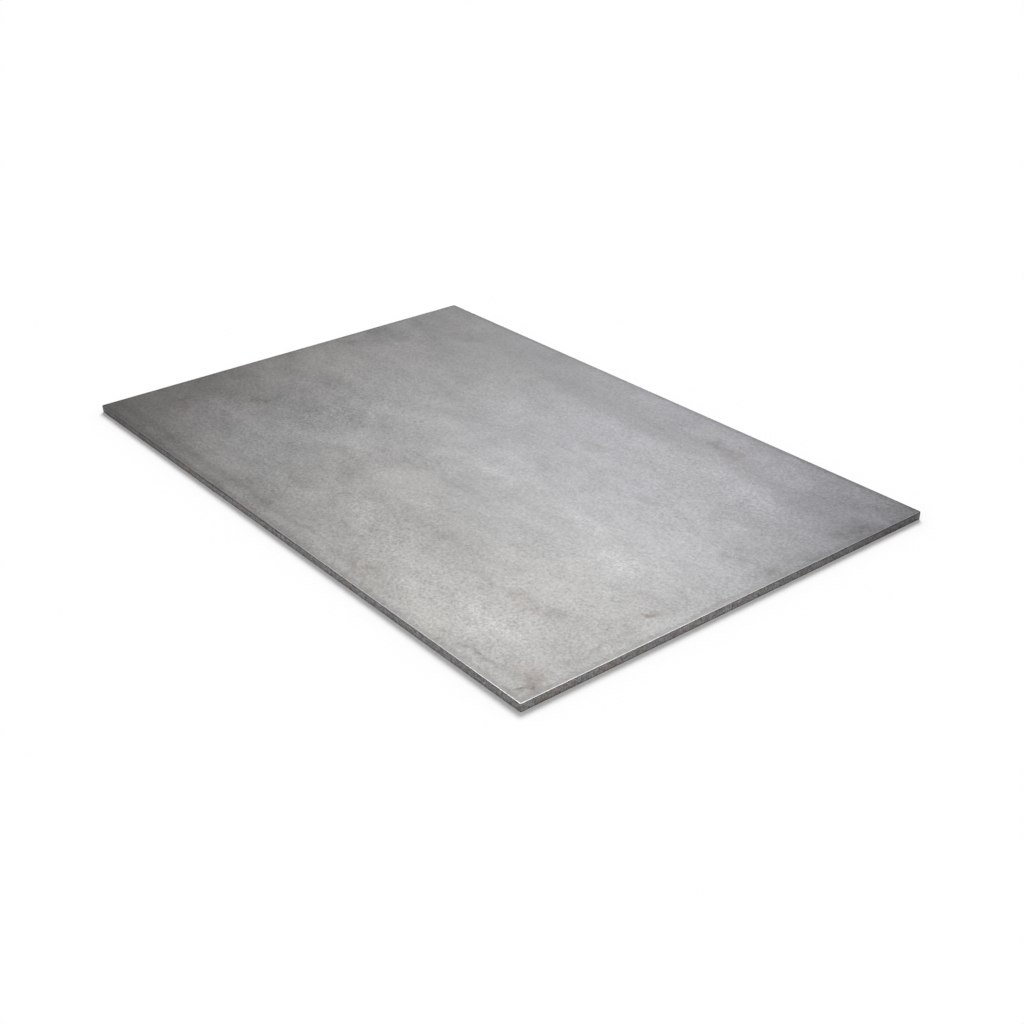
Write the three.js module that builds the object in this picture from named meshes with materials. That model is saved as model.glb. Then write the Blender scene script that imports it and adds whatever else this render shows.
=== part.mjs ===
// A rolled steel plate, cut to size on a guillotine and stored lying flat.
// Millimetres, +Z up. The origin is the middle of the bottom face. X runs along the long
// side, which is the way the plate was rolled, and Y runs across it.

import * as THREE from 'three';

// The plate, over its widest points
const plateLength = 900;
const plateWidth = 600;
const plateThickness = 10;
const cornerRadius = 1.2; // upright corners, dulled by handling

// The cut edge, read from the top face down to the bottom one
const rolloverWidth = 0.8; // how far in from the edge the blade drew the top face down
const rolloverDepth = 0.3; // how deep it drew it
const landHeight = 3.2; // upright band that the blade rubbed smooth
const fractureLean = 0.2; // how far the torn band below falls back by the bottom arris
const bottomBreak = 0.25; // radius left at the bottom arris once the burr is off

// How finely the curves are cut: each arc gets twice as many flats as its steps
const arrisSteps = 3;
const cornerSteps = 4;
const sharpestCorner = 0.1; // a ring's corner never closes up to a point

const quarterTurn = Math.PI / 2;

// Half of the plate's section at one edge, from the bottom face up to the top face.
// x is how far in from the widest outline a point lies, y is its height.
function edgeSection() {
  const breakInset = fractureLean + bottomBreak;
  const section = new THREE.Path();
  section.moveTo(breakInset, 0);
  section.absellipse(
    breakInset, bottomBreak, bottomBreak, bottomBreak,
    -quarterTurn, -2 * quarterTurn, true, 0,
  );
  section.lineTo(0, plateThickness - rolloverDepth - landHeight);
  section.lineTo(0, plateThickness - rolloverDepth);
  section.absellipse(
    rolloverWidth, plateThickness - rolloverDepth, rolloverWidth, rolloverDepth,
    2 * quarterTurn, quarterTurn, true, 0,
  );
  return section.getPoints(arrisSteps);
}

// The plate's outline seen from above, moved inwards by inset: a rectangle whose corners
// stay round about the same centres.
function outline(inset) {
  const radius = Math.max(cornerRadius - inset, sharpestCorner);
  const reachX = plateLength / 2 - inset - radius;
  const reachY = plateWidth / 2 - inset - radius;
  const ring = new THREE.Path();
  ring.absarc(reachX, reachY, radius, 0, quarterTurn, false);
  ring.absarc(-reachX, reachY, radius, quarterTurn, 2 * quarterTurn, false);
  ring.absarc(-reachX, -reachY, radius, 2 * quarterTurn, 3 * quarterTurn, false);
  ring.absarc(reachX, -reachY, radius, 3 * quarterTurn, 4 * quarterTurn, false);
  return ring.getPoints(cornerSteps);
}

// A closed skin through level rings with the same number of points each, from the lowest
// ring to the highest, with a flat face across both ends.
function loft(rings) {
  const around = rings[0].points.length;
  const positions = [];
  for (const ring of rings) {
    for (const point of ring.points) {
      positions.push(point.x, point.y, ring.height);
    }
  }
  const faces = [];
  for (let level = 0; level < rings.length - 1; level += 1) {
    for (let i = 0; i < around; i += 1) {
      const here = level * around + i;
      const next = level * around + ((i + 1) % around);
      faces.push(here, next, next + around);
      faces.push(here, next + around, here + around);
    }
  }
  const lastRing = (rings.length - 1) * around;
  for (const [a, b, c] of THREE.ShapeUtils.triangulateShape(rings[0].points, [])) {
    faces.push(c, b, a);
  }
  for (const [a, b, c] of THREE.ShapeUtils.triangulateShape(rings.at(-1).points, [])) {
    faces.push(lastRing + a, lastRing + b, lastRing + c);
  }
  const geometry = new THREE.BufferGeometry();
  geometry.setAttribute('position', new THREE.Float32BufferAttribute(positions, 3));
  geometry.setIndex(faces);
  geometry.computeVertexNormals();
  return geometry;
}

// Bare steel under a thin grey skin of mill scale
const millScale = new THREE.MeshStandardMaterial({
  color: 0xa5a5a6,
  roughness: 0.6,
  metalness: 0.7,
});

function makePlate() {
  const rings = edgeSection().map(({ x, y }) => ({ points: outline(x), height: y }));
  const plate = new THREE.Mesh(loft(rings), millScale);
  plate.name = 'plate';
  return plate;
}

const steelPlate = new THREE.Group();
steelPlate.add(makePlate());

export default steelPlate;
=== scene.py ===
import math
import random
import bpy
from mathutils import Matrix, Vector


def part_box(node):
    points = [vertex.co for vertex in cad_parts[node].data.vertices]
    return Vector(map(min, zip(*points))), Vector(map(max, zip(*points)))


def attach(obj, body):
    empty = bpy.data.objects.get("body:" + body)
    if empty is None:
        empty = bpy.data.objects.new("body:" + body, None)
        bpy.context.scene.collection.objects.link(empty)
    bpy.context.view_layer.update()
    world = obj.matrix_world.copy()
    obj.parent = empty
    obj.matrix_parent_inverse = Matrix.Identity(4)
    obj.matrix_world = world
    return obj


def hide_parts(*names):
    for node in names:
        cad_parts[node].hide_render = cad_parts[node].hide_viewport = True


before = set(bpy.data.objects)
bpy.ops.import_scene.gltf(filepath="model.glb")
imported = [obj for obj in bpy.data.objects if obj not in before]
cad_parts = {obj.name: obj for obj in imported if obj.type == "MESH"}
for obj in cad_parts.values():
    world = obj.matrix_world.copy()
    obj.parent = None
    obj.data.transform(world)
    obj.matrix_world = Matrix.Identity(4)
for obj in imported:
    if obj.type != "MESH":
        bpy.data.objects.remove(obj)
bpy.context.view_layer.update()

from types import SimpleNamespace

import bpy
from mathutils import Matrix, Vector, noise
from mathutils.geometry import delaunay_2d_cdt

# the plate's own sizes, in metres; right is +x, back is +y, and the front corner is the right
# one of the front side
plateLow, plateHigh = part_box("plate")
halfLength = (plateHigh.x - plateLow.x) / 2
halfWidth = (plateHigh.y - plateLow.y) / 2
thickness = plateHigh.z - plateLow.z

# the cut edge, in metres
cutEdge = {
    "cornerRadius": 0.0012,
    "rolloverWidth": 0.0008,
    "rolloverDepth": 0.0003,
    "rolloverVary": 0.25,       # share by which the rollover's width changes along the edge
    "landHeight": 0.0032,
    "landWander": 0.0005,       # how much the foot of the land goes up and down
    "landRub": 0.00002,
    "fractureLean": 0.0002,
    "tearDepth": 0.00016,       # how rough the torn band is
    "tearShares": (0.6, 0.4),   # how much of that is fine and how much is coarse
    "tearFade": 4,              # the tear fades out over one part in this many, below the land
    "bottomBreak": 0.00025,
    "stationStep": 0.0016,      # along the edge
    "cornerStations": 7,
    "arrisRings": 5,
    "landRings": 4,
    "fractureRings": 8,
    "nickCount": 46,
    "nickWidth": 0.0035,
    "nickDepth": 0.0005,
    "nickWidthRange": (0.4, 1.3),       # shares of that width and depth, drawn at random
    "nickDepthRange": (0.2, 1.0),
    "cornerNickRange": (0.5, 0.9),
    "cornerNickDepth": 0.7,
    "nickIn": 0.7,              # how far a nick goes in and down, as shares of its depth
    "nickDown": 0.5,
    "leastRadius": 0.0001,      # of the upright corners, however far in
    "seed": 11,
}

# noises of the cut edge: how many times a metre one comes and goes, its layer at the foot of
# a band, and the layers it passes on the way up
edgeNoises = {
    "landFoot": (60, 1.7, 0.0),
    "rollover": (14, 4.2, 0.0),
    "rub": (900, 0.3, 0.0),
    "fineTear": (700, 0.0, 4.0),
    "coarseTear": (190, 9.0, 2.0),
}

# the two rolled faces, in metres
faceMesh = {
    "rowInsets": (0.0009, 0.0012, 0.0022, 0.0042, 0.0075),
    "rowSteps": (0.0016, 0.0016, 0.0024, 0.004, 0.0065),
    "fieldStep": 0.0095,
    "fieldGap": 0.8,            # field steps left free between the rows and the field
    "fieldJitter": 0.22,
    "waveDepth": 0.00022,       # how far the rolled faces stray from flat
    "waveLength": 0.16,
    "waveStretch": 0.6,         # waves are longer along the rolling
    "rippleShare": 0.35,
    "ripplePace": (2.1, 2.8),   # ripples to a wave, along and across the rolling
    "sideLayer": 7.0,           # noise layers from the middle to each face's waves
    "rippleLayer": 3.0,         # and from the waves to their ripples
    "mergeWithin": 1e-7,
    "seed": 4,
}


def unevenAt(x, y, name, share=0.0):
    # smooth noise from -1 to 1
    pace, layer, climb = edgeNoises[name]
    return noise.noise(Vector((x * pace, y * pace, share * climb + layer)))


class EdgePath:
    # walks round the plate's outline; a station keeps its place on every ring
    def __init__(self):
        self.stations = []
        step = cutEdge["stationStep"]
        turns = cutEdge["cornerStations"]
        sides = (
            ((1, -1), (1, 1), 0.0, halfWidth),
            ((1, 1), (-1, 1), 90.0, halfLength),
            ((-1, 1), (-1, -1), 180.0, halfWidth),
            ((-1, -1), (1, -1), 270.0, halfLength),
        )
        for start, end, facing, half in sides:
            count = round(2 * half / step)
            for i in range(count):
                share = i / count
                across = [a + (b - a) * share for a, b in zip(start, end)]
                self.stations.append((across[0], across[1], math.radians(facing)))
            for i in range(turns):
                angle = math.radians(facing + 90.0 * i / turns)
                self.stations.append((end[0], end[1], angle))

    def point(self, station, inset):
        across, along, angle = station
        radius = max(cutEdge["cornerRadius"] - inset, cutEdge["leastRadius"])
        x = across * (halfLength - inset - radius) + radius * math.cos(angle)
        y = along * (halfWidth - inset - radius) + radius * math.sin(angle)
        return x, y


def faceWave(x, y, side):
    # long shallow waves that the rolls left, never above flat
    pace = 1 / faceMesh["waveLength"]
    rippleX, rippleY = faceMesh["ripplePace"]
    layer = side * faceMesh["sideLayer"]
    swell = noise.noise(Vector((x * pace * faceMesh["waveStretch"], y * pace, layer)))
    layer += faceMesh["rippleLayer"]
    ripple = noise.noise(Vector((x * pace * rippleX, y * pace * rippleY, layer)))
    swell += faceMesh["rippleShare"] * ripple
    return -faceMesh["waveDepth"] * (0.5 + 0.5 * max(-1.0, min(1.0, swell)))


def makeNicks(path):
    # small knocks along the top arris, a few of them on the corners
    dice = random.Random(cutEdge["seed"])
    nicks = []
    for _ in range(cutEdge["nickCount"]):
        x, y = path.point(dice.choice(path.stations), 0.0)
        width = cutEdge["nickWidth"] * dice.uniform(*cutEdge["nickWidthRange"])
        depth = cutEdge["nickDepth"] * dice.uniform(*cutEdge["nickDepthRange"]) ** 2
        nicks.append((x, y, width, depth))
    depth = cutEdge["nickDepth"] * cutEdge["cornerNickDepth"]
    for sideX, sideY in ((1, -1), (1, 1), (-1, 1), (-1, -1)):
        width = cutEdge["nickWidth"] * dice.uniform(*cutEdge["cornerNickRange"])
        nicks.append((sideX * halfLength, sideY * halfWidth, width, depth))
    return nicks


def nickAt(nicks, x, y):
    # the deepest nick at a place
    deepest = 0.0
    for nickX, nickY, width, depth in nicks:
        away = math.hypot(x - nickX, y - nickY) / width
        if away < 1.0:
            deepest = max(deepest, depth * (1 - away * away) ** 2)
    return deepest


def edgeLevels():
    # the section from the bottom arris up to the top one: band, and how far through it, which
    # is an angle on the two arrises
    quarter = math.pi / 2
    arris, fracture, land = (cutEdge[name + "Rings"] for name in ("arris", "fracture", "land"))
    levels = [("bottom", quarter * i / arris) for i in range(arris)]
    levels += [("torn", i / fracture) for i in range(fracture)]
    levels += [("land", i / land) for i in range(land)]
    levels += [("rollover", quarter * i / arris) for i in range(arris + 1)]
    return levels


def tearAt(x, y, share):
    # how far the torn band goes in, roughened
    fine, coarse = cutEdge["tearShares"]
    tear = fine * unevenAt(x, y, "fineTear", share)
    tear += coarse * unevenAt(x, y, "coarseTear", share)
    return cutEdge["tearDepth"] * (0.5 + tear)


def edgePoint(station, path, nicks, band, share):
    # the section's point at one station
    x, y = path.point(station, 0.0)
    landTop = thickness - cutEdge["rolloverDepth"]
    landFoot = landTop - cutEdge["landHeight"]
    landFoot += cutEdge["landWander"] * unevenAt(x, y, "landFoot")
    foot = cutEdge["bottomBreak"]
    lean = cutEdge["fractureLean"]
    rub = cutEdge["landRub"] * (1 + unevenAt(x, y, "rub"))
    if band == "bottom":
        inset = lean + foot * (1 - math.sin(share))
        inset += tearAt(x, y, share) * math.sin(share)
        height = foot * (1 - math.cos(share))
    elif band == "torn":
        fade = min(1.0, (1 - share) * cutEdge["tearFade"])
        inset = lean * (1 - share) + tearAt(x, y, share) * fade
        height = foot + (landFoot - foot) * share
    elif band == "land":
        inset = rub
        height = landFoot + (landTop - landFoot) * share
    else:
        drawn = 1 + cutEdge["rolloverVary"] * unevenAt(x, y, "rollover")
        inset = rub + cutEdge["rolloverWidth"] * (1 - math.cos(share)) * drawn
        height = landTop + cutEdge["rolloverDepth"] * math.sin(share)
        height += faceWave(x, y, 1) * math.sin(share)
    if band in ("land", "rollover"):
        nick = nickAt(nicks, x, y)
        upper = (height - landFoot) / (thickness - landFoot)
        inset += nick * upper ** 2 * cutEdge["nickIn"]
        height -= nick * upper ** 4 * cutEdge["nickDown"]
    px, py = path.point(station, inset)
    return px, py, height


def edgeRings(path):
    # rings of points from the bottom face's rim up to the top face's rim
    nicks = makeNicks(path)
    return [
        [edgePoint(station, path, nicks, band, share) for station in path.stations]
        for band, share in edgeLevels()
    ]


def facePoints(dice):
    # points of a flat face: rows that widen away from the rim, then a loose field
    points = []
    for inset, step in zip(faceMesh["rowInsets"], faceMesh["rowSteps"]):
        for half, other, swap in ((halfLength, halfWidth, False), (halfWidth, halfLength, True)):
            reach = half - inset - cutEdge["rolloverWidth"]
            edge = other - inset - cutEdge["rolloverWidth"]
            count = round(2 * reach / step)
            for side in (-1, 1):
                for i in range(1 if swap else 0, count if swap else count + 1):
                    along = -reach + 2 * reach * i / count
                    points.append((side * edge, along) if swap else (along, side * edge))
    margin = faceMesh["rowInsets"][-1] + cutEdge["rolloverWidth"]
    margin += faceMesh["fieldStep"] * faceMesh["fieldGap"]
    countX = round(2 * (halfLength - margin) / faceMesh["fieldStep"])
    countY = round(2 * (halfWidth - margin) / faceMesh["fieldStep"])
    loose = faceMesh["fieldStep"] * faceMesh["fieldJitter"]
    for i in range(countX + 1):
        for j in range(countY + 1):
            x = (halfLength - margin) * (2 * i / countX - 1) + dice.uniform(-loose, loose)
            y = (halfWidth - margin) * (2 * j / countY - 1) + dice.uniform(-loose, loose)
            points.append((x, y))
    return points


def fillFace(points, firstOfRing, around, dice, side):
    # adds the points inside one rolled face, and gives its triangles, held to the rim's points
    flat = [Vector(point[:2]) for point in points[firstOfRing:firstOfRing + around]]
    flat += [Vector(point) for point in facePoints(dice)]
    border = [(i, (i + 1) % around) for i in range(around)]
    trianglesInside = 1
    filled = delaunay_2d_cdt(flat, border, [], trianglesInside, faceMesh["mergeWithin"])
    places, _, triangles, origins, _, _ = filled
    base = thickness if side > 0 else 0.0
    numbers = []
    for place, origin in zip(places, origins):
        onRim = [i for i in origin if i < around]
        if onRim:
            numbers.append(firstOfRing + onRim[0])
        else:
            numbers.append(len(points))
            points.append((place.x, place.y, base + side * faceWave(place.x, place.y, side)))
    corners = [tuple(numbers[i] for i in triangle) for triangle in triangles]
    return corners if side > 0 else [corner[::-1] for corner in corners]


def makePlateMesh():
    path = EdgePath()
    rings = edgeRings(path)
    around = len(path.stations)
    points = [point for ring in rings for point in ring]
    faces = []
    for level in range(len(rings) - 1):
        for i in range(around):
            here = level * around + i
            onward = level * around + (i + 1) % around
            faces.append((here, onward, onward + around, here + around))
    dice = random.Random(faceMesh["seed"])
    topRing = (len(rings) - 1) * around
    for firstOfRing, side in ((0, -1), (topRing, 1)):
        faces += fillFace(points, firstOfRing, around, dice, side)
    mesh = bpy.data.meshes.new("rolledPlate")
    mesh.from_pydata(points, [], faces)
    mesh.validate()
    mesh.shade_smooth()
    return mesh


def addObject(name, data):
    made = bpy.data.objects.new(name, data)
    bpy.context.scene.collection.objects.link(made)
    return made


plate = addObject("rolled_plate", makePlateMesh())
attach(plate, "root")
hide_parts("plate")
print("plate mesh:", len(plate.data.vertices), "points,", len(plate.data.polygons), "faces")


class Value:
    # one output of a node; sums with it add Math nodes
    def __init__(self, sheet, socket):
        self.sheet = sheet
        self.socket = socket

    def __add__(self, other):
        return self.sheet.maths("ADD", self, other)

    def __radd__(self, other):
        return self.sheet.maths("ADD", other, self)

    def __sub__(self, other):
        return self.sheet.maths("SUBTRACT", self, other)

    def __rsub__(self, other):
        return self.sheet.maths("SUBTRACT", other, self)

    def __mul__(self, other):
        return self.sheet.maths("MULTIPLY", self, other)

    def __rmul__(self, other):
        return self.sheet.maths("MULTIPLY", other, self)

    def swing(self, amount):
        # a pattern's swing about its middle, up and down
        return (self - 0.5) * amount


class Sheet:
    # the node sheet of a material or of the world
    def __init__(self, owner):
        owner.use_nodes = True
        self.owner = owner
        self.tree = owner.node_tree
        self.tree.nodes.clear()

    def node(self, kind, settings=None, sockets=None, output=0):
        # any node: sockets by name or number, each a value or a link, and which output is wanted
        made = self.tree.nodes.new("ShaderNode" + kind)
        for key, value in (settings or {}).items():
            if isinstance(value, dict):
                for part, amount in value.items():
                    setattr(getattr(made, key), part, amount)
            else:
                setattr(made, key, value)
        for key, value in (sockets or {}).items():
            if isinstance(value, Value):
                self.tree.links.new(value.socket, made.inputs[key])
            else:
                made.inputs[key].default_value = value
        return Value(self, made.outputs[output]) if len(made.outputs) else None

    def maths(self, operation, *values):
        return self.node("Math", {"operation": operation}, dict(enumerate(values)))

    def least(self, a, b):
        return self.maths("MINIMUM", a, b)

    def most(self, a, b):
        return self.maths("MAXIMUM", a, b)

    def band(self, value, low, high, start=0.0, end=1.0):
        # a soft step: start at low, end at high
        settings = {"interpolation_type": "SMOOTHSTEP"}
        sockets = {"Value": value, "From Min": low, "From Max": high, "To Min": start, "To Max": end}
        return self.node("MapRange", settings, sockets)

    def parts(self, vector):
        split = self.node("SeparateXYZ", {}, {0: vector})
        outputs = split.socket.node.outputs
        return [Value(self, outputs[i]) for i in range(3)]

    def pattern(self, vector, size, detail, rough, warp=0.0, stretch=None):
        # noise from 0 to 1; a stretch under 1 draws it out that way
        if stretch:
            sockets = {"Vector": vector, "Scale": stretch}
            vector = self.node("Mapping", {"vector_type": "POINT"}, sockets)
        sockets = {
            "Vector": vector, "Scale": 1 / size, "Detail": detail,
            "Roughness": rough, "Distortion": warp,
        }
        return self.node("TexNoise", {"noise_dimensions": "3D"}, sockets)

    def warped(self, vector, size, amount, detail=2.0):
        # the same place, pushed about by the noise's colour, its second output
        sockets = {"Vector": vector, "Scale": 1 / size, "Detail": detail}
        push = self.node("TexNoise", {}, sockets, output=1)
        push = self.node("VectorMath", {"operation": "SUBTRACT"}, {0: push, 1: (0.5, 0.5, 0.5)})
        sockets = {0: push, 1: (amount, amount, amount), 2: vector}
        return self.node("VectorMath", {"operation": "MULTIPLY_ADD"}, sockets)

    def tint(self, kind, share, under, over):
        # a Mix node keeps its colours in sockets 6 and 7 and in output 2
        settings = {"data_type": "RGBA", "blend_type": kind}
        return self.node("Mix", settings, {0: share, 6: under, 7: over}, output=2)

    def shaded(self, colour, tone):
        # a colour made lighter or darker
        return self.node("VectorMath", {"operation": "SCALE"}, {0: colour, "Scale": tone})


def grey(level, red=1.0, green=1.0, blue=1.0):
    # a colour whose channels are shares of a grey
    return (level * red, level * green, level * blue, 1.0)


# colours of rolled steel; the leanings of the scale are shares of its tone
steelLook = {
    "tone": 0.0995,
    "cool": (0.975, 0.985, 1.045),
    "purple": (0.998, 0.972, 1.085),
    "warm": (1.018, 1.0, 0.955),
    "brown": (1.03, 0.99, 0.955),
    "pink": (1.035, 0.975, 1.02),
    "brownest": (1.10, 0.975, 0.88),
    "cut": (0.235, 0.230, 0.226),
    "cutCool": (0.90, 0.95, 1.08),
    # rubbed metal on the arris, light enough to serve as its painted highlight too
    "rubbedAndHighlight": (0.25, 0.248, 0.244),
    "stain": (0.185, 0.150, 0.126),
    "rust": (0.30, 0.165, 0.09),
}

# broad tones of the rolled face, partly painted shade and painted highlight, partly uneven scale:
# middle, half size, how much darker
broadShadingAndTones = (
    ((-0.44, -0.36), (0.30, 0.34), 0.30),
    ((-0.34, 0.38), (0.62, 0.26), 0.55),
    ((0.56, -0.32), (0.34, 0.34), 0.35),
    ((-0.22, -0.14), (0.24, 0.20), -0.70),
    ((0.24, 0.38), (0.34, 0.14), 0.40),
    ((0.12, -0.34), (0.40, 0.20), -0.55),
    ((0.00, -0.15), (0.12, 0.08), -0.35),
    ((0.48, 0.24), (0.14, 0.26), 0.25),
    ((-0.36, 0.04), (0.13, 0.12), -0.20),
    ((-0.01, 0.00), (0.12, 0.06), -0.20),
    ((0.16, 0.225), (0.34, 0.035), 0.15),
    ((-0.36, -0.20), (0.08, 0.06), -0.35),
    ((0.14, -0.24), (0.10, 0.06), -0.15),
    ((-0.06, 0.24), (0.44, 0.05), 0.15),
    ((-0.20, -0.285), (0.08, 0.04), 0.20),
    ((0.38, 0.17), (0.24, 0.10), 0.10),
    ((-0.08, -0.225), (0.05, 0.04), -0.20),
    ((0.02, 0.12), (0.30, 0.10), 0.10),
    ((-0.20, 0.20), (0.20, 0.10), 0.10),
    ((-0.32, -0.265), (0.10, 0.045), -0.30),
)

# where the scale's grey leans to a colour: middle, half size
leanPlaces = {
    "cool": (((0.24, 0.14), (0.46, 0.20)), ((0.04, 0.18), (0.16, 0.20))),
    "purple": (((0.10, 0.30), (0.56, 0.14)), ((0.38, 0.22), (0.12, 0.10))),
    "warm": (
        ((0.24, -0.28), (0.50, 0.24)), ((-0.03, -0.16), (0.11, 0.10)), ((-0.26, -0.29), (0.24, 0.06)),
    ),
    "brown": (((-0.42, -0.10), (0.18, 0.34)),),
    "pink": (
        ((-0.33, -0.19), (0.070, 0.032)), ((-0.31, -0.06), (0.055, 0.040)),
        ((-0.35, 0.14), (0.060, 0.034)), ((-0.28, 0.10), (0.040, 0.020)),
        ((-0.35, 0.23), (0.060, 0.020)), ((-0.42, 0.22), (0.030, 0.026)),
    ),
}

# single marks in millimetres and degrees: middle, half length, half width, turn, how much
# darker, how brown
marks = (
    (-430, 210, 26, 15, -30, 0.18, 0.3), (-428, 88, 22, 11, 75, 0.24, 0.8),
    (-326, 236, 40, 24, 0, 0.15, 0.0), (-352, 224, 34, 12, -20, 0.07, 0.5),
    (-332, 178, 9, 5, 0, 0.13, 0.2), (-270, 122, 12, 7, 0, 0.14, 0.2),
    (-172, 276, 44, 26, 0, 0.14, 0.0), (-212, 128, 34, 10, -8, 0.08, 0.0),
    (-172, 88, 42, 14, 0, 0.10, 0.1), (-228, 87, 16, 9, 0, 0.08, 0.0),
    (-166, 43, 11, 7, 0, 0.16, 0.0), (-85, 232, 130, 22, 2, 0.09, 0.0),
    (-60, 212, 50, 10, 0, 0.08, 0.0), (-100, 112, 70, 38, 20, -0.08, 0.0),
    (-370, 262, 60, 22, 0, -0.07, 0.0), (-192, 163, 28, 13, 0, -0.07, 0.0),
    (-388, 146, 62, 46, 0, -0.12, 0.0), (-216, -28, 52, 96, 0, -0.10, 0.0),
    (208, 241, 27, 19, 0, 0.16, 0.6), (172, 244, 24, 11, 10, 0.16, 0.3),
    (205, 268, 18, 7, 80, 0.09, 0.2), (120, 236, 120, 24, 0, 0.07, 0.0),
    (340, 216, 62, 28, 0, 0.11, 0.0), (431, 204, 36, 23, 90, 0.30, 0.0),
    (437, 58, 22, 17, 0, 0.20, 0.3), (400, 58, 38, 3.0, 3, 0.15, 0.0),
    (325, 57, 40, 4.0, 2, 0.09, 0.0), (432, 115, 30, 12, 90, 0.12, 0.0),
    (335, 124, 30, 8, 0, 0.12, 0.0), (374, 82, 66, 26, 0, 0.10, 0.0),
    (78, 130, 30, 13, 15, 0.10, 0.2), (160, 132, 30, 8, 0, 0.09, 0.1),
    (226, 76, 17, 11, 0, 0.13, 0.1), (192, 62, 14, 11, 0, 0.10, 0.0),
    (75, 38, 14, 6, -30, 0.10, 0.0), (295, 172, 60, 26, 0, -0.08, 0.0),
    (404, -22, 50, 26, 0, 0.06, 0.0), (130, 208, 190, 9, 0, 0.06, 0.0),
    (-372, -176, 38, 32, 0, -0.10, 0.0), (390, 282, 44, 18, 0, -0.10, 0.0),
    (-314, -124, 14, 8, 0, 0.33, 0.8), (-416, -98, 48, 46, 0, 0.12, 0.3),
    (-382, -209, 30, 7, -40, 0.22, 1.0), (-346, -238, 46, 8, -27, 0.14, 0.7),
    (-254, -88, 60, 10, 88, 0.13, 0.0), (-230, -98, 74, 9, 86, -0.12, 0.0),
    (-207, -64, 34, 8, 84, 0.05, 0.0), (-176, -150, 30, 10, 80, -0.08, 0.0),
    (-148, -152, 20, 9, 80, 0.08, 0.0), (-130, -120, 26, 8, 0, 0.11, 0.0),
    (-28, -78, 32, 8, 6, 0.11, 0.0), (-10, -56, 66, 40, 0, -0.07, 0.0),
    (-46, -150, 48, 30, 0, 0.07, 0.3), (-317, -273, 18, 8, 0, 0.16, 1.6),
    (-110, -275, 130, 5, 0, 0.16, 0.1), (-280, -276, 66, 30, 0, -0.12, 0.0),
    (-233, -241, 6, 2.5, 0, 0.14, 0.0),
    (142, -163, 30, 16, 84, 0.11, 0.5), (92, -198, 84, 54, 0, -0.11, 0.0),
    (46, -74, 70, 17, -2, 0.09, 0.0), (74, -91, 18, 5, 0, 0.12, 0.1),
    (222, -90, 16, 6, 0, 0.10, 0.0), (318, -175, 60, 15, 5, 0.11, 0.5),
    (292, -168, 10, 5, 0, 0.10, 0.3), (262, -193, 12, 7, 0, 0.11, 0.3),
    (236, -185, 24, 8, 0, 0.08, 0.0), (392, -70, 62, 32, 0, 0.07, 0.1),
    (416, -95, 20, 13, 70, 0.19, 1.3), (437, -22, 16, 6, 85, 0.13, 0.8),
    (424, -180, 110, 4, 90, 0.10, 0.2), (427, -280, 18, 13, 80, 0.20, 0.8),
    (421, -264, 26, 20, 0, 0.08, 0.8), (422, -290, 13, 3.5, 56, 0.27, 0.2),
    (348, -275, 84, 6, 0, 0.15, 0.0), (30, -275, 50, 6, 0, 0.17, 0.0),
    (145, -276, 62, 24, 0, 0.17, 0.3), (50, -16, 70, 10, 0, -0.09, 0.0),
    (225, -17, 56, 10, 0, -0.07, 0.0), (150, -42, 150, 12, 0, 0.06, 0.0),
    (300, -236, 80, 28, 0, -0.09, 0.0), (322, -52, 52, 26, 0, -0.09, 0.0),
    (210, -255, 20, 14, 0, -0.07, 0.0), (60, -130, 26, 16, 0, -0.06, 0.0),
)

# rusty places low on the cut edge, in millimetres: middle and half length
rustSpots = (
    (450, -276, 11), (450, -238, 12), (450, -190, 13), (450, -146, 9), (-215, -300, 22),
    (-330, -300, 12), (150, -300, 14), (75, -300, 12), (120, 300, 20), (-450, 80, 16),
)


millimetre = 0.001
ovalFade = 1.25     # an oval fades out this far from its middle, in half sizes


def cover(sheet, place, middle, reach, turn=0.0, strength=1.0):
    # full strength in the middle of an oval, fading to 0 a little past its rim
    long, wide = (half * ovalFade for half in reach)
    mapping = {
        "vector_type": "TEXTURE", "translation": (middle[0], middle[1], thickness),
        "rotation": (0.0, 0.0, math.radians(turn)), "scale": (long, wide, 1.0),
    }
    settings = {"gradient_type": "SPHERICAL", "texture_mapping": mapping}
    inside = sheet.node("TexGradient", settings, {"Vector": place}, output=1)
    return sheet.band(inside, 0.0, 1.0, 0.0, strength)


# from here on a soft step is from, to, and the values there when they aren't 0 and 1; a
# pattern is size, detail, roughness, warp and stretch; places and sizes are in metres

# where the cut edge begins, by how far in from the edge and how far down it lies
cutStart = {"in": (0.0009, 0.0003), "down": (0.00012, 0.0003)}


def surveyPlate(sheet):
    # where on the plate: how far from the nearest edge, and how far down the cut
    at = SimpleNamespace()
    at.place = sheet.node("TexCoord", {}, {}, output=3)     # the object's own coordinates
    at.x, at.y, z = sheet.parts(at.place)
    at.fromEdge = sheet.least(
        halfLength - sheet.maths("ABSOLUTE", at.x),
        halfWidth - sheet.maths("ABSOLUTE", at.y),
    )
    at.below = thickness - z
    at.onCut = sheet.band(at.fromEdge, *cutStart["in"]) * sheet.band(at.below, *cutStart["down"])
    return at


# mill scale: its patterns, and how much each shows in the tone
scaleLook = {
    "clouds": (0.11, 2.0, 0.6, 0.6, (0.6, 1.0, 1.0)),
    "mottle": (0.035, 3.0, 0.75, 0.4, (0.62, 1.0, 1.0)),
    "streaks": (0.007, 3.0, 0.6, 0.0, (0.05, 1.0, 1.0)),
    "grain": (0.0036, 3.0, 0.9),
    "flecks": (0.0038, 1.0, 0.5),
    "fleckRim": (0.60, 0.74),
    "cloudTone": 0.60,
    "streakTone": 0.16,
    "mottleTone": 0.68,
    "fleckTone": 0.16,
    "grainNear": (0.15, 0.40, 2.3, 1.9),    # grain by the distance from the front corner
    "grainFar": (0.45, 0.85, 0.0, 0.4),
    "grainBack": (0.0, 0.2, 0.0, 0.5),      # more grain on the back half
}


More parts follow.
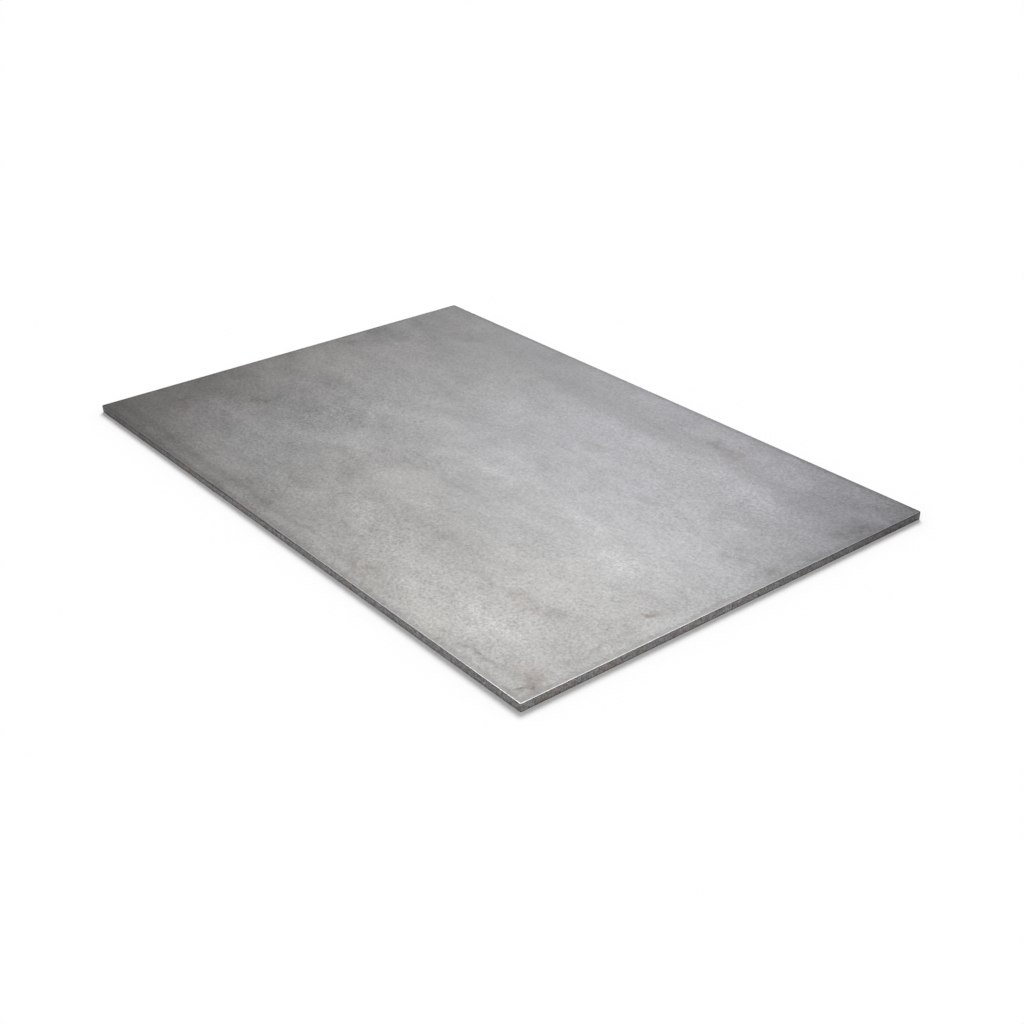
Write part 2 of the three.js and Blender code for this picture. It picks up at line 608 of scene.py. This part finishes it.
def scaleTone(sheet, at):
    # cloudy scale, drawn out a little along the rolling
    at.clouds = sheet.pattern(at.place, *scaleLook["clouds"])
    at.mottle = sheet.pattern(at.place, *scaleLook["mottle"])
    at.streaks = sheet.pattern(at.place, *scaleLook["streaks"])
    at.grain = sheet.pattern(at.place, *scaleLook["grain"])
    flecks = sheet.pattern(at.place, *scaleLook["flecks"])
    flecks = sheet.band(flecks, *scaleLook["fleckRim"])
    frontCorner = (halfLength, -halfWidth, 0.0)
    sockets = {0: at.place, 1: frontCorner}
    at.near = sheet.node("VectorMath", {"operation": "DISTANCE"}, sockets, output=1)
    coarse = sheet.band(at.near, *scaleLook["grainNear"]) + sheet.band(at.near, *scaleLook["grainFar"])
    coarse = coarse + sheet.band(at.y, *scaleLook["grainBack"])
    tone = 1 + at.clouds.swing(scaleLook["cloudTone"]) + at.streaks.swing(scaleLook["streakTone"])
    tone = tone + at.mottle.swing(scaleLook["mottleTone"])
    return tone + at.grain.swing(coarse) - flecks * scaleLook["fleckTone"]


# how broad tones and marks are pushed about and broken up
markLook = {
    "looseWarp": (0.16, 0.10),      # size and amount
    "raggedWarps": ((0.03, 0.045), (0.009, 0.018)),
    "broken": (0.011, 5.0, 0.9),
    "brokenTone": (0.36, 0.64, 0.3, 1.8),
    "tone": 1.15,
    "grainTone": 3.6,
}


def markTone(sheet, at, tone):
    # broad tones, partly painted shade and painted highlight, then single marks with ragged outlines
    at.loose = sheet.warped(at.place, *markLook["looseWarp"])
    for middle, reach, darker in broadShadingAndTones:
        tone = tone * (1 - cover(sheet, at.loose, middle, reach, 0.0, darker))
    at.ragged = at.place
    for size, amount in markLook["raggedWarps"]:
        at.ragged = sheet.warped(at.ragged, size, amount)
    dark = brown = 0.0
    for markX, markY, long, wide, turn, darker, browner in marks:
        middle = (markX * millimetre, markY * millimetre)
        reach = (long * millimetre, wide * millimetre)
        shade = cover(sheet, at.ragged, middle, reach, turn, darker)
        dark = dark + shade
        if browner:
            brown = brown + shade * (browner / darker)
    broken = sheet.pattern(at.place, *markLook["broken"])
    at.dark = dark * sheet.band(broken, *markLook["brokenTone"])
    at.brown = brown
    return tone * (1 - at.dark * (markLook["tone"] + at.grain.swing(markLook["grainTone"])))


# borders of the rolled face, and how far the patterns shift them
borderLook = {
    "mottleShift": 0.010,
    "grainShift": 0.006,
    "inner": (0.0105, 0.0050),
    "tone": 0.21,
    "cloudTone": 0.25,
    "mottleTone": 0.3,
    "rimShift": 0.004,
    "rimInner": (0.0062, 0.0030),
    "rimMottle": (0.38, 0.60, 0.35, 1.0),
    "rimLeft": (-halfLength, -0.30, 0.22, 0.34),
    "rimRight": (-0.10, halfLength, 1.0, 0.42),
    "rimShadeLine": (0.0008, 0.0022, 0.55, 1.0),     # painted shade: a dark line right at the left and back edges
    "creaseShift": 0.02,
    "creaseFront": (0.016, 0.024),
    "creaseBack": (0.034, 0.026),
    "creaseEnd": (0.06, -0.06, 0.0, 0.11),
}


def borderTone(sheet, at, tone):
    # a darker border along the front, the back and the right edge
    inward = sheet.least(halfLength - at.x, halfWidth - sheet.maths("ABSOLUTE", at.y))
    inward = inward + at.mottle.swing(borderLook["mottleShift"])
    inward = inward + at.grain.swing(borderLook["grainShift"])
    border = sheet.band(inward, *borderLook["inner"])
    depth = borderLook["tone"] + at.clouds.swing(borderLook["cloudTone"])
    depth = depth + at.mottle.swing(borderLook["mottleTone"])
    tone = tone * (1 - border * depth)

    # a narrow broken rim along the left and the back edge
    at.backward = sheet.least(halfLength + at.x, halfWidth - at.y)
    rim = sheet.band(at.backward + at.grain.swing(borderLook["rimShift"]), *borderLook["rimInner"])
    rim = rim * sheet.band(at.mottle, *borderLook["rimMottle"])
    rim = rim * sheet.band(at.x, *borderLook["rimLeft"]) * sheet.band(at.x, *borderLook["rimRight"])
    # the broken rim, then a painted shade line along the very edge
    tone = tone * (1 - rim) * sheet.band(at.backward, *borderLook["rimShadeLine"])

    # a faint darker line a little in from the front edge's left half
    inFront = at.y + halfWidth + at.mottle.swing(borderLook["creaseShift"])
    crease = sheet.band(inFront, *borderLook["creaseFront"])
    crease = crease * sheet.band(inFront, *borderLook["creaseBack"])
    return tone * (1 - crease * sheet.band(at.x, *borderLook["creaseEnd"]))


# how strongly the scale leans, and how that follows the clouds
leanLook = {"share": 0.4, "cloudShare": 1.2, "brownShare": 0.8}


def faceColour(sheet, at, tone):
    # the scale's grey, leaning to a colour from place to place
    skin = grey(steelLook["tone"])
    for lean, places in leanPlaces.items():
        for middle, reach in places:
            share = cover(sheet, at.loose, middle, reach)
            share = share * (leanLook["share"] + at.clouds * leanLook["cloudShare"])
            skin = sheet.tint("MIX", share, skin, grey(steelLook["tone"], *steelLook[lean]))
    brownest = grey(steelLook["tone"], *steelLook["brownest"])
    skin = sheet.tint("MIX", at.brown * leanLook["brownShare"], skin, brownest)
    return sheet.shaded(skin, tone)


# the cut edge; depths are below the rolled face
cutLook = {
    "grit": (0.0022, 4.0, 0.75),
    "drawn": (0.0022, 2.0, 0.6, 0.0, (1.0, 1.0, 0.12)),
    "layers": (0.0022, 2.0, 0.6, 0.0, (0.16, 0.16, 1.0)),
    "leftCorner": (0.30, 0.61),             # how far a dark corner reaches, and how dark it is
    "rightCorner": (0.29, 0.66),
    "mottleShift": 0.003,
    # the cut lightens downwards: partly the torn band's own tone, partly painted light against the
    # shade near the floor
    "tone": (0.0010, thickness - 0.0005, 0.93, 1.17),
    "lipByCorner": (0.2, 0.6, 0.0, 0.0006),     # the dark line below the arris lies lower
    "lipByLeft": (0.35, 0.05, 0.0, 0.0007),     # away from the front corner, and is darker
    "lipTone": (0.2, 0.6, 0.48, 0.18),
    "lipDepth": (0.0004, 0.0018),
    # painted shade: the cut darkens towards its foot, where the plate meets the floor
    "footShade": (thickness - 0.0018, thickness - 0.0002, 1.0, 0.45),
    "rightTone": (halfLength - 0.003, halfLength - 0.001, 1.0, 1.19),
    "layerTone": (halfLength - 0.020, halfLength - 0.005, 1.4, 0.8),
    "gritTone": (0.002, 0.004, 2.2, 6.3),   # coarse speckle, fainter on the left and back sides
    "mottleTone": 0.75,
    "drawnTone": 0.2,
    "darkest": 0.45,
    "rustGrit": (0.35, 0.6),
    "rustDepth": (0.002, 0.006),
    "rustShare": 0.36,
    "stainGrit": 0.9,
    "stainShare": (0.44, 0.62, 0.0, 0.46),
    "stainOnFront": (-0.05, 0.15, 1.0, 0.4),
    "stainOnRight": (0.1, -0.1, 0.4, 1.0),
    "rightSide": (halfLength - 0.010, halfLength - 0.001),
    "bluish": (0.010, 3.0, 0.7),
    "bluishShare": (0.50, 0.62, 0.0, 0.6),
}


def cutColour(sheet, at):
    # torn steel, darker towards the front left and the back right corner
    at.grit = sheet.pattern(at.place, *cutLook["grit"])
    drawn = sheet.pattern(at.place, *cutLook["drawn"])      # upright streaks
    layers = sheet.pattern(at.place, *cutLook["layers"])    # level lines
    reach, darker = cutLook["leftCorner"]
    leftCorner = cover(sheet, at.loose, (-halfLength, -halfWidth), (reach, reach), 0.0, darker)
    reach, darker = cutLook["rightCorner"]
    rightCorner = cover(sheet, at.loose, (halfLength, halfWidth), (reach, reach), 0.0, darker)
    # the cut's tone by depth, lighter low down, partly painted light
    torn = sheet.band(at.below + at.mottle.swing(cutLook["mottleShift"]), *cutLook["tone"])
    lip = sheet.band(at.near, *cutLook["lipByCorner"]) + sheet.band(at.x, *cutLook["lipByLeft"])
    underLip = at.below - lip
    lipTone = sheet.band(at.near, *cutLook["lipTone"])
    torn = torn * sheet.band(underLip, *cutLook["lipDepth"], lipTone)
    # painted shade at the foot of the cut
    torn = torn * sheet.band(at.below, *cutLook["footShade"])
    torn = torn * sheet.band(at.x, *cutLook["rightTone"])
    layering = sheet.band(at.x, *cutLook["layerTone"])
    speckle = (at.grit - 0.5) * sheet.band(at.backward, *cutLook["gritTone"])
    speckle = speckle + at.mottle.swing(cutLook["mottleTone"])
    speckle = speckle + drawn.swing(cutLook["drawnTone"]) + layers.swing(layering)
    tone = (1 - leftCorner - rightCorner) * torn * sheet.most(1 + speckle, cutLook["darkest"])
    colour = sheet.shaded(steelLook["cut"], tone)

    # rust low down, bluish places, and a brown stain, strongest on the plate's left half and on
    # the front half of the right side
    rusty = 0.0
    for rustX, rustY, long in rustSpots:
        middle = (rustX * millimetre, rustY * millimetre)
        rusty = rusty + cover(sheet, at.ragged, middle, (long * millimetre, long * millimetre))
    rusty = rusty * sheet.band(at.grit, *cutLook["rustGrit"])
    rusty = rusty * sheet.band(at.below, *cutLook["rustDepth"]) * cutLook["rustShare"]
    stained = sheet.band(at.mottle + at.grit.swing(cutLook["stainGrit"]), *cutLook["stainShare"])
    onFront = sheet.band(at.x, *cutLook["stainOnFront"])
    onRight = sheet.band(at.y, *cutLook["stainOnRight"]) * sheet.band(at.x, *cutLook["rightSide"])
    stained = stained * sheet.most(onFront, onRight)
    colour = sheet.tint("MIX", stained, colour, (*steelLook["stain"], 1.0))
    bluish = sheet.pattern(at.place, *cutLook["bluish"])
    bluish = sheet.band(bluish, *cutLook["bluishShare"])
    colour = sheet.tint("MULTIPLY", bluish, colour, (*steelLook["cutCool"], 1.0))
    return sheet.tint("MIX", rusty, colour, (*steelLook["rust"], 1.0))


# rubbed metal on the arris and a painted highlight along it, most on the front side, some on the right
# and none at the back
arrisRubAndHighlightLook = {
    "byCorner": (0.85, 0.15, 0.5, 1.0),
    "in": (0.0014, 0.0005),
    "down": (0.0008, 0.0002),
    "onFront": (0.01 - halfWidth, 0.003 - halfWidth, 0.57, 1.0),
    "offBack": (0.002, 0.004),
    "patchy": (0.30, 0.46, 0.6, 1.0),
}


def arrisRubAndHighlight(sheet, at):
    # lighter colour where the arris is rubbed, and a painted highlight that is strongest round the
    # front corner and fades away from it
    rubAndHighlightFade = sheet.band(at.near, *arrisRubAndHighlightLook["byCorner"])
    rubbedAndHighlit = sheet.band(at.fromEdge, *arrisRubAndHighlightLook["in"]) * sheet.band(at.below, *arrisRubAndHighlightLook["down"])
    edges = sheet.band(at.y, *arrisRubAndHighlightLook["onFront"])
    edges = edges * sheet.band(at.backward, *arrisRubAndHighlightLook["offBack"])
    return rubbedAndHighlit * edges * rubAndHighlightFade * sheet.band(at.mottle, *arrisRubAndHighlightLook["patchy"])


# roughness, metal and relief, and what each pattern or mask adds
finish = {
    "roughness": 0.39,
    "cloudRoughness": 0.12,
    "grainRoughness": 0.1,
    "markRoughness": 0.2,
    "cutRoughness": 0.15,
    "arrisPolish": 0.08,         # how much smoother the rubbed and highlit arris is
    "metallic": 0.6,
    "cutLoss": 0.35,            # how much less metallic the torn steel is
    "arrisMetallic": 0.1,
    "grainHeight": 0.6,
    "streakHeight": 0.4,
    "gritHeight": 1.5,
    "bumpStrength": 0.25,
    "bumpDistance": 0.00025,
}


def makeRolledSteel():
    sheet = Sheet(bpy.data.materials.new("rolledSteel"))
    at = surveyPlate(sheet)
    tone = scaleTone(sheet, at)
    tone = markTone(sheet, at, tone)
    tone = borderTone(sheet, at, tone)
    skin = faceColour(sheet, at, tone)
    colour = sheet.tint("MIX", at.onCut, skin, cutColour(sheet, at))
    # rubbed metal and a painted highlight along the arris
    rubbedAndHighlit = arrisRubAndHighlight(sheet, at)
    colour = sheet.tint("MIX", rubbedAndHighlit, colour, (*steelLook["rubbedAndHighlight"], 1.0))

    roughness = finish["roughness"] + at.clouds.swing(finish["cloudRoughness"])
    roughness = roughness + at.grain.swing(finish["grainRoughness"])
    roughness = roughness + at.dark * finish["markRoughness"]
    roughness = roughness + at.onCut * finish["cutRoughness"] - rubbedAndHighlit * finish["arrisPolish"]
    metallic = finish["metallic"] - at.onCut * finish["cutLoss"] + rubbedAndHighlit * finish["arrisMetallic"]

    height = at.grain * finish["grainHeight"] + at.streaks * finish["streakHeight"]
    height = height + at.onCut * at.grit * finish["gritHeight"]
    bump = sheet.node("Bump", {}, {
        "Strength": finish["bumpStrength"], "Distance": finish["bumpDistance"], "Height": height,
    })
    shader = sheet.node("BsdfPrincipled", {}, {
        "Base Color": colour, "Roughness": roughness, "Metallic": metallic, "Normal": bump,
    })
    sheet.node("OutputMaterial", {}, {"Surface": shader})
    return sheet.owner


plate.data.materials.append(makeRolledSteel())
print("rolled steel made")


# floor, light and cards, in metres and degrees
studio = {
    "floorReach": 40.0,
    "floorColour": 0.95,
    "floorLift": 0.05,          # light added to the floor where the camera or gloss sees it
    "ambient": 0.45,
    "windowStrength": 2.44,
    "windowHeading": 136.0,     # degrees from +X, towards the light
    "windowHeight": 45.0,
    "windowWidth": 28.0,
    # matt dark cards beside the window, seen only in reflections: heading, distance, width, height
    "cards": ((172.0, 2.0, 2.0, 2.5), (104.0, 2.2, 1.2, 2.5)),
    "cardColour": 0.03,
}


def seenDirectly(sheet):
    # 1 for rays that show the white surroundings: camera, gloss and glass
    paths = sheet.node("LightPath").socket.node.outputs
    names = ("Is Camera Ray", "Is Glossy Ray", "Is Transmission Ray")
    camera, gloss, glass = (Value(sheet, paths[name]) for name in names)
    return sheet.most(camera, sheet.most(gloss, glass))


def addQuad(name, corners, material):
    # a flat object with four corners
    mesh = bpy.data.meshes.new(name)
    mesh.from_pydata(corners, [], [(0, 1, 2, 3)])
    mesh.materials.append(material)
    return addObject(name, mesh)


def makeFloor():
    sheet = Sheet(bpy.data.materials.new("studioFloor"))
    matt = sheet.node("BsdfDiffuse", {}, {"Color": grey(studio["floorColour"])})
    lift = sheet.node("Emission", {}, {
        "Color": grey(1.0), "Strength": seenDirectly(sheet) * studio["floorLift"],
    })
    both = sheet.node("AddShader", {}, {0: matt, 1: lift})
    sheet.node("OutputMaterial", {}, {"Surface": both})
    reach = studio["floorReach"]
    corners = [(-reach, -reach, 0), (reach, -reach, 0), (reach, reach, 0), (-reach, reach, 0)]
    floor = addQuad("studioFloor", corners, sheet.owner)


def makeWorld():
    world = bpy.data.worlds.new("studioWorld")
    bpy.context.scene.world = world
    sheet = Sheet(world)
    direct = seenDirectly(sheet)
    strength = studio["ambient"] + direct * (1 - studio["ambient"])
    air = sheet.node("Background", {}, {"Color": grey(1.0), "Strength": strength})
    sheet.node("OutputWorld", {}, {"Surface": air})


def makeWindow():
    lamp = bpy.data.lights.new("softWindow", "SUN")
    lamp.energy = studio["windowStrength"]
    lamp.angle = math.radians(studio["windowWidth"])
    window = addObject("softWindow", lamp)
    heading, height = math.radians(studio["windowHeading"]), math.radians(studio["windowHeight"])
    towards = Vector((
        math.cos(heading) * math.cos(height), math.sin(heading) * math.cos(height),
        math.sin(height),
    ))
    window.rotation_euler = towards.to_track_quat("Z", "Y").to_euler()


def makeCards():
    sheet = Sheet(bpy.data.materials.new("darkCard"))
    matt = sheet.node("BsdfDiffuse", {}, {"Color": grey(studio["cardColour"])})
    sheet.node("OutputMaterial", {}, {"Surface": matt})
    for heading, distance, width, height in studio["cards"]:
        half = width / 2
        corners = [(-half, 0, 0), (half, 0, 0), (half, 0, height), (-half, 0, height)]
        card = addQuad("darkCard", corners, sheet.owner)
        angle = math.radians(heading)
        card.location = (distance * math.cos(angle), distance * math.sin(angle), 0.0)
        card.rotation_euler = (0.0, 0.0, angle - math.pi / 2)
        card.visible_camera = False
        card.visible_diffuse = False
        card.visible_shadow = False


# lengths in metres, angles in degrees, lens and sensor in millimetres
cameraView = {
    "place": (1.3486, -1.0278, 0.8350),
    "azimuth": 51.974,
    "elevation": 28.174,
    "roll": -0.868,
    "lens": 52.559,
    "sensorWidth": 36.0,
    "shift": 0.015,
    "clip": (0.01, 200.0),
}


def makeCamera():
    lens = bpy.data.cameras.new("camera")
    lens.lens = cameraView["lens"]
    lens.sensor_width = cameraView["sensorWidth"]
    lens.shift_x = cameraView["shift"]
    lens.clip_start, lens.clip_end = cameraView["clip"]
    camera = addObject("camera", lens)
    azimuth, elevation = math.radians(cameraView["azimuth"]), math.radians(cameraView["elevation"])
    back = Vector((
        math.sin(azimuth) * math.cos(elevation), -math.cos(azimuth) * math.cos(elevation),
        math.sin(elevation),
    ))
    right = Vector((math.cos(azimuth), math.sin(azimuth), 0.0))
    up = back.cross(right)
    turn = Matrix((right, up, back)).transposed().to_4x4()
    roll = Matrix.Rotation(math.radians(cameraView["roll"]), 4, "Z")
    camera.matrix_world = Matrix.Translation(cameraView["place"]) @ turn @ roll
    bpy.context.scene.camera = camera


makeFloor()
makeWorld()
makeWindow()
makeCards()
makeCamera()
bpy.context.scene.view_settings.view_transform = "Standard"
print("studio made")
